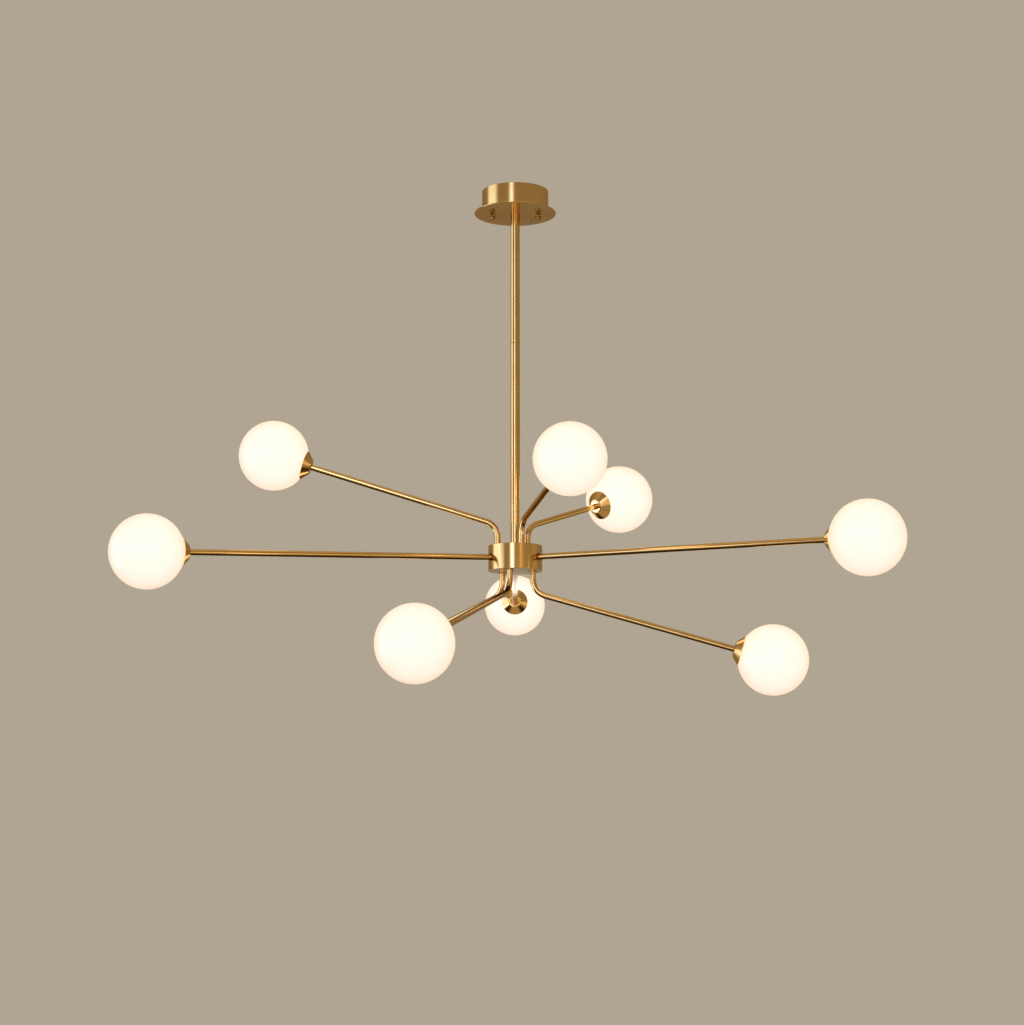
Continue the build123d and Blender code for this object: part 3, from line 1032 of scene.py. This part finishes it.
class CHANDELIER_OT_stage(ChandelierOperator):
    """Set the pale floor, the dark card, the backdrop, the soft lamps and the camera."""

    bl_idname = "chandelier.stage"
    bl_label = "Stage"

    # Name, bearing from the camera's side (degrees, left is negative), height above the origin,
    # distance, width and height of the lamp (metres), its colour, how bright its middle is (white
    # is 1), and whether it is there for what shines, for the cups alone or for what is dull
    lamps = [
        ("strip", -13, -0.25, 4.2, 1.25, 4.2, "day", 9.0, "gloss"),
        ("left_bank", -87, 0.0, 4.0, 3.9, 4.4, "day", 3.8, "gloss"),
        ("left_wing", -62, -0.85, 4.2, 2.4, 2.2, "day", 4.8, "gloss"),
        ("left_low", -90, -1.85, 3.6, 3.2, 1.0, "day", 8.0, "gloss"),
        ("front_glint", -4, -1.8, 3.4, 1.2, 1.0, "day", 6.0, "gloss"),
        ("front_low", 26, -1.15, 4.6, 5.6, 2.3, "evening", 1.3, "gloss"),
        ("amber", 24, 0.0, 4.6, 1.1, 1.4, "amber", 0.9, "gloss"),
        ("right_warm", 88, -1.0, 4.0, 3.0, 2.0, "evening", 0.9, "gloss"),
        ("overhead", -90, 2.6, 0.4, 6.0, 6.0, "evening", 0.4, "gloss"),
        ("cup_fill", 0, -2.4, 0.0, 3.2, 3.2, "evening", 0.55, "cups"),
        ("ceiling_soft", -20, 1.9, 1.6, 2.6, 2.6, "plain", 1.2, "dull"),
    ]
    lamp_target = Vector((0, 0, -0.5))
    lamp_fade = 0.3  # share of a lamp's face that fades, at each edge
    glow_bright = 1.5  # how bright the globes are on the metal (white is 1)
    glow_gap = 1 * MM  # from the glass to the lamp around it
    ambient = 0.25  # how bright the room is on what is dull
    floor_level = -2.45
    floor_width = 14
    floor_lift = 0.5  # how much paler than lit the floor shows
    floor_fade = (2.0, 6.8)  # where the floor begins and ends to fade, from its middle (metres)
    card_place = (0, 1.2, -2.44)
    card_size = (6.4, 4.8, 1)
    camera_place = (-0.0056, -3.5321, -1.1226)
    camera_pitch = math.radians(98.932)  # from straight down
    lens_length = 73.52  # millimetres
    sensor_height = 36

    def seen(self, tree):
        """An output that is 1 for what the camera sees, straight, in metal or through glass."""
        path = add_node(tree, "LightPath")
        found = path.outputs["Is Camera Ray"]
        for way in ("Is Glossy Ray", "Is Transmission Ray"):
            both = add_node(tree, "Math", {0: found, 1: path.outputs[way]}, operation="MAXIMUM")
            found = both.outputs[0]
        return found

    def soften(self, lamp):
        """Let a lamp's face fade towards its edges, as cloth over a lamp does."""
        lamp.use_nodes = True
        tree = lamp.node_tree
        tree.nodes.clear()
        face = add_node(tree, "NewGeometry")
        parts = add_node(tree, "SeparateXYZ", {0: face.outputs["Parametric"]})
        half = 0.5  # from a face's middle to its edge
        fade = None
        for part in parts.outputs[:2]:
            off = add_node(tree, "Math", {0: part, 1: half}, operation="SUBTRACT")
            away = add_node(tree, "Math", {0: off.outputs[0]}, operation="ABSOLUTE")
            edge = add_node(
                tree,
                "MapRange",
                {0: away.outputs[0], 1: half, 2: half - self.lamp_fade, 3: 0.0, 4: 1.0},
                interpolation_type="SMOOTHSTEP",
            )
            if fade:
                edge = add_node(
                    tree, "Math", {0: fade.outputs[0], 1: edge.outputs[0]}, operation="MULTIPLY"
                )
            fade = edge
        light = add_node(tree, "Emission", {"Strength": fade.outputs[0]})
        add_node(tree, "OutputLight", {"Surface": light.outputs[0]})

    def execute(self, context):
        c = self.colours
        scene = context.scene
        scene.view_settings.view_transform = "Standard"

        bpy.ops.object.select_all(action="DESELECT")
        bpy.ops.mesh.primitive_plane_add(
            size=self.floor_width, location=(0, 0, self.floor_level)
        )
        floor = context.object
        floor.name = "floor"
        paint = plain_skin("floor_painted_matt", c.floor, speck=400 * MM, rough=0.8, shine=0.0)
        floor.data.materials.append(paint)
        # Eye and metal see the floor pale, as the backdrop is; the lamps alone would leave it dim.
        tree = paint.node_tree
        pale = add_node(
            tree, "Math", {0: self.seen(tree), 1: self.floor_lift}, operation="MULTIPLY"
        )
        skin = next(node for node in tree.nodes if node.type == "BSDF_PRINCIPLED")
        tree.links.new(pale.outputs[0], skin.inputs["Emission Strength"])
        # Far from the object the floor fades into the backdrop, as a paper sweep does.
        place = add_node(tree, "TexCoord")
        far = add_node(tree, "VectorMath", {0: place.outputs["Object"]}, operation="LENGTH")
        near, end = self.floor_fade
        fade = add_node(
            tree,
            "MapRange",
            {0: far.outputs["Value"], 1: near, 2: end, 3: 1.0, 4: 0.0},
            interpolation_type="SMOOTHSTEP",
        )
        tree.links.new(fade.outputs[0], skin.inputs["Alpha"])

        # A dark card on the floor, below and behind the object, draws the tubes' dark lower edge.
        bpy.ops.mesh.primitive_plane_add(size=1, location=self.card_place)
        card = context.object
        card.name = "dark_card"
        card.scale = self.card_size
        felt = plain_skin("card_felt", c.card, speck=20 * MM, rough=0.8, shine=0.0)
        card.data.materials.append(felt)
        card.visible_camera = card.visible_diffuse = card.visible_shadow = False

        world = bpy.data.worlds.new("plain_backdrop")
        world.use_nodes = True
        tree = world.node_tree
        tree.nodes.clear()
        ambient = add_node(
            tree, "Background", {"Color": (*c.plain, 1), "Strength": self.ambient}
        )
        backdrop = add_node(tree, "Background", {"Color": (*c.backdrop, 1), "Strength": 1.0})
        both = add_node(
            tree, "MixShader", {0: self.seen(tree), 1: ambient.outputs[0], 2: backdrop.outputs[0]}
        )
        add_node(tree, "OutputWorld", {"Surface": both.outputs[0]})
        scene.world = world

        # Which pieces a lamp lights: the cups alone, or all but the glass
        cups = bpy.data.collections.new("cups")
        glass = bpy.data.collections.new("glass")
        for light in LIGHTS:
            cups.objects.link(bpy.data.objects[f"cup_{light.name}_spun"])
            glass.objects.link(bpy.data.objects[f"globe_{light.name}_blown"])
        for entry in glass.collection_objects:
            entry.light_linking.link_state = "EXCLUDE"

        # A lamp's power is pi times the area of its face times its brightness.
        for name, bearing, rise, distance, width, tall, tint, bright, use in self.lamps:
            lamp = bpy.data.lights.new(name, "AREA")
            lamp.color = getattr(c, tint)
            lamp.shape = "RECTANGLE"
            lamp.size = width
            lamp.size_y = tall
            lamp.energy = bright * math.pi * width * tall
            self.soften(lamp)
            holder = bpy.data.objects.new(name, lamp)
            turn_to = math.radians(bearing)
            holder.location = (distance * math.sin(turn_to), -distance * math.cos(turn_to), rise)
            way = self.lamp_target - holder.location
            holder.rotation_euler = way.to_track_quat("-Z", "Y").to_euler()
            holder.visible_camera = False
            holder.visible_diffuse = use == "dull"
            holder.visible_glossy = use != "dull"
            if use == "cups":
                holder.light_linking.receiver_collection = cups
            scene.collection.objects.link(holder)

        # What the lit globes throw on the metal: a round lamp just outside each globe's skin,
        # which the glass itself doesn't see
        for light in LIGHTS:
            lamp = bpy.data.lights.new(f"glow_{light.name}", "POINT")
            lamp.shadow_soft_size = self.sizes.globe_diameter / 2 + self.glow_gap
            lamp.use_soft_falloff = False
            lamp.energy = 4 * math.pi**2 * lamp.shadow_soft_size**2 * self.glow_bright
            holder = bpy.data.objects.new(lamp.name, lamp)
            holder.location = light.centre
            holder.light_linking.receiver_collection = glass
            holder.visible_camera = False
            holder.visible_diffuse = False
            scene.collection.objects.link(holder)

        lens = bpy.data.cameras.new("camera")
        lens.sensor_fit = "VERTICAL"
        lens.sensor_height = self.sensor_height
        lens.lens = self.lens_length
        camera = bpy.data.objects.new("camera", lens)
        camera.location = self.camera_place
        camera.rotation_euler = (self.camera_pitch, 0, 0)
        scene.collection.objects.link(camera)
        scene.camera = camera
        return {"FINISHED"}


OPERATORS = [
    CHANDELIER_OT_canopy,
    CHANDELIER_OT_thumb_nuts,
    CHANDELIER_OT_stem,
    CHANDELIER_OT_hub,
    CHANDELIER_OT_arms,
    CHANDELIER_OT_cups,
    CHANDELIER_OT_globes,
    CHANDELIER_OT_fittings,
    CHANDELIER_OT_stage,
]


class CHANDELIER_PT_pieces(bpy.types.Panel):
    """The chandelier's pieces, sizes and colours."""

    bl_idname = "CHANDELIER_PT_pieces"
    bl_label = "Chandelier"
    bl_space_type = "VIEW_3D"
    bl_region_type = "UI"
    bl_category = "Chandelier"

    def draw(self, context):
        for operator in OPERATORS:
            self.layout.operator(operator.bl_idname)
        for group in (context.scene.chandelier_sizes, context.scene.chandelier_colours):
            box = self.layout.box()
            for name in group.__annotations__:
                box.prop(group, name)


CLASSES = [ChandelierSizes, ChandelierColours, *OPERATORS, CHANDELIER_PT_pieces]


def register():
    for kind in CLASSES:
        bpy.utils.register_class(kind)
    bpy.types.Scene.chandelier_sizes = bpy.props.PointerProperty(type=ChandelierSizes)
    bpy.types.Scene.chandelier_colours = bpy.props.PointerProperty(type=ChandelierColours)


def unregister():
    del bpy.types.Scene.chandelier_colours
    del bpy.types.Scene.chandelier_sizes
    for kind in reversed(CLASSES):
        bpy.utils.unregister_class(kind)


def main():
    register()
    bpy.ops.chandelier.canopy()
    bpy.ops.chandelier.thumb_nuts()
    bpy.ops.chandelier.stem()
    bpy.ops.chandelier.hub()
    bpy.ops.chandelier.arms()
    bpy.ops.chandelier.cups()
    bpy.ops.chandelier.globes()
    bpy.ops.chandelier.fittings()
    bpy.ops.chandelier.stage()


if __name__ == "__main__":
    main()
